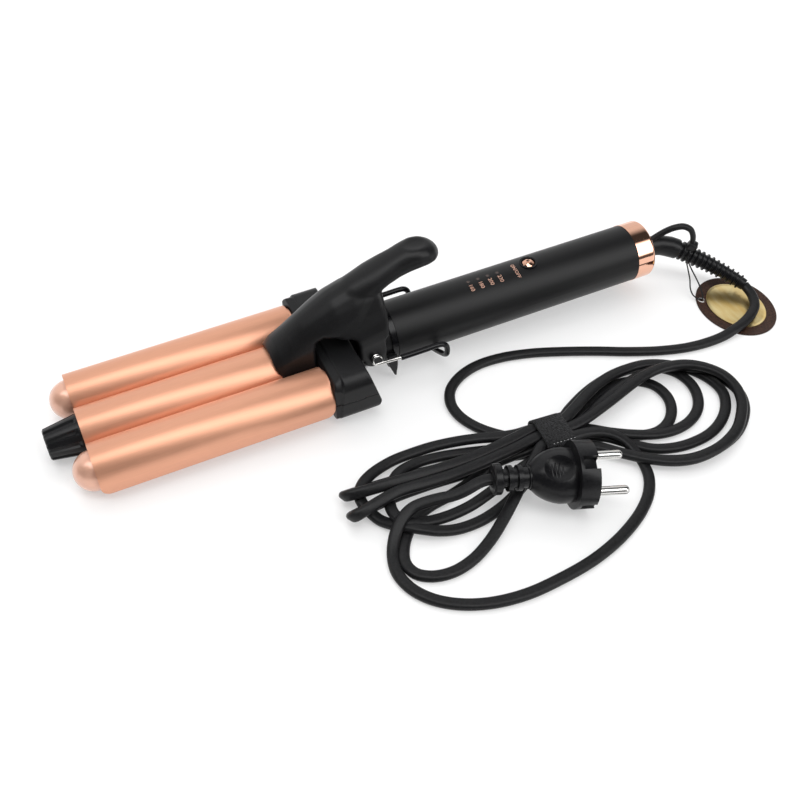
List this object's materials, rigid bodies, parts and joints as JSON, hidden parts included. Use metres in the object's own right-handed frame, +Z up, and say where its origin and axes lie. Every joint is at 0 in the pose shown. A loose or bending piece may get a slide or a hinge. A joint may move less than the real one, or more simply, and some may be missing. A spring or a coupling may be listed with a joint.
{
  "type": "hair waver",
  "caption": "Rose-gold barrel hair waver with black clamp lever, round handle, power button, folding wire stand, ribbed boot, oval tag and a mains lead tied up in a hank with its plug.",
  "frame": {"origin": "On the surface the device lies on, under the middle of the device without its lead, on its centre plane.", "axes": "+X from the barrel tips to the lead, +Y away from the lead's hank, +Z up. The device lies 2 degrees nose down, on its outer barrel tips and the bow of its stand."},
  "size_m": [0.4298, 0.2226, 0.076],
  "materials": {
    "satin_rose_gold": "satin",
    "polished_rose_gold": "polished",
    "black_plastic": "satin",
    "handle_black": "matte",
    "gloss_black": "gloss",
    "cord_rubber": "matte",
    "steel": "polished",
    "screw_steel": "satin",
    "inner_aluminium": "satin",
    "insulation": "matte",
    "board_green": "satin",
    "lens": "gloss",
    "wire_red": "satin",
    "tag_brown": "satin",
    "tag_gold": "satin",
    "strap_black": "matte"
  },
  "bodies": {
    "base": {"handle_upper_shell": "handle_black", "handle_lower_shell": "handle_black", "front_collar": "gloss_black", "end_ring": "polished_rose_gold", "end_gland": "black_plastic", "bracket_upper": "gloss_black", "bracket_lower": "gloss_black", "barrel_near": "satin_rose_gold", "barrel_middle": "satin_rose_gold", "barrel_far": "satin_rose_gold", "dome_cap_near": "satin_rose_gold", "dome_cap_far": "satin_rose_gold", "cool_tip": "black_plastic", "insulating_sleeves": "insulation", "heater_near": "inner_aluminium", "heater_middle": "inner_aluminium", "heater_far": "inner_aluminium", "thermostat": "insulation", "wiring": "wire_red", "control_board": "board_green", "button_switch": "black_plastic", "button_bezel": "gloss_black", "lamp_lenses": "lens", "handle_screws": "screw_steel", "bracket_screws": "screw_steel", "cord_clamp": "insulation", "lever_spring": "steel", "pivot_pin": "steel", "pin_clips": "steel", "cord_boot": "cord_rubber", "hanging_loop": "cord_rubber", "tag_board": "tag_brown", "tag_disc": "tag_gold", "tag_eyelet": "steel", "tag_string": "strap_black", "cord_lead": "cord_rubber", "cord_hank": "cord_rubber", "cord_tail": "cord_rubber", "cord_tie": "strap_black", "plug_body": "gloss_black", "plug_pins": "steel"},
    "lever": {"lever": "black_plastic", "clamp_plate": "satin_rose_gold", "plate_rivets": "steel"},
    "stand": {"stand_wire": "steel", "stand_sleeve": "gloss_black"},
    "button": {"power_button": "polished_rose_gold"}
  },
  "joints": [
    {"name": "lever_pivot", "type": "hinge", "parent": "base", "child": "lever", "pos_m": [-0.0032, 0, 0.02215], "axis": [0, 1, 0], "range_deg": [0, 24], "stiffness_Nm_per_rad": 0.35, "springref_deg": -34.38},
    {"name": "stand_fold", "type": "hinge", "parent": "base", "child": "stand", "pos_m": [-0.0032, 0, 0.02215], "axis": [0, 1, 0], "range_deg": [0, 100]},
    {"name": "button_press", "type": "slide", "parent": "base", "child": "button", "axis": [0.035, 0, -0.9994], "range_m": [0, 0.0008], "stiffness_N_per_m": 1500, "springref_m": -0.0006}
  ]
}
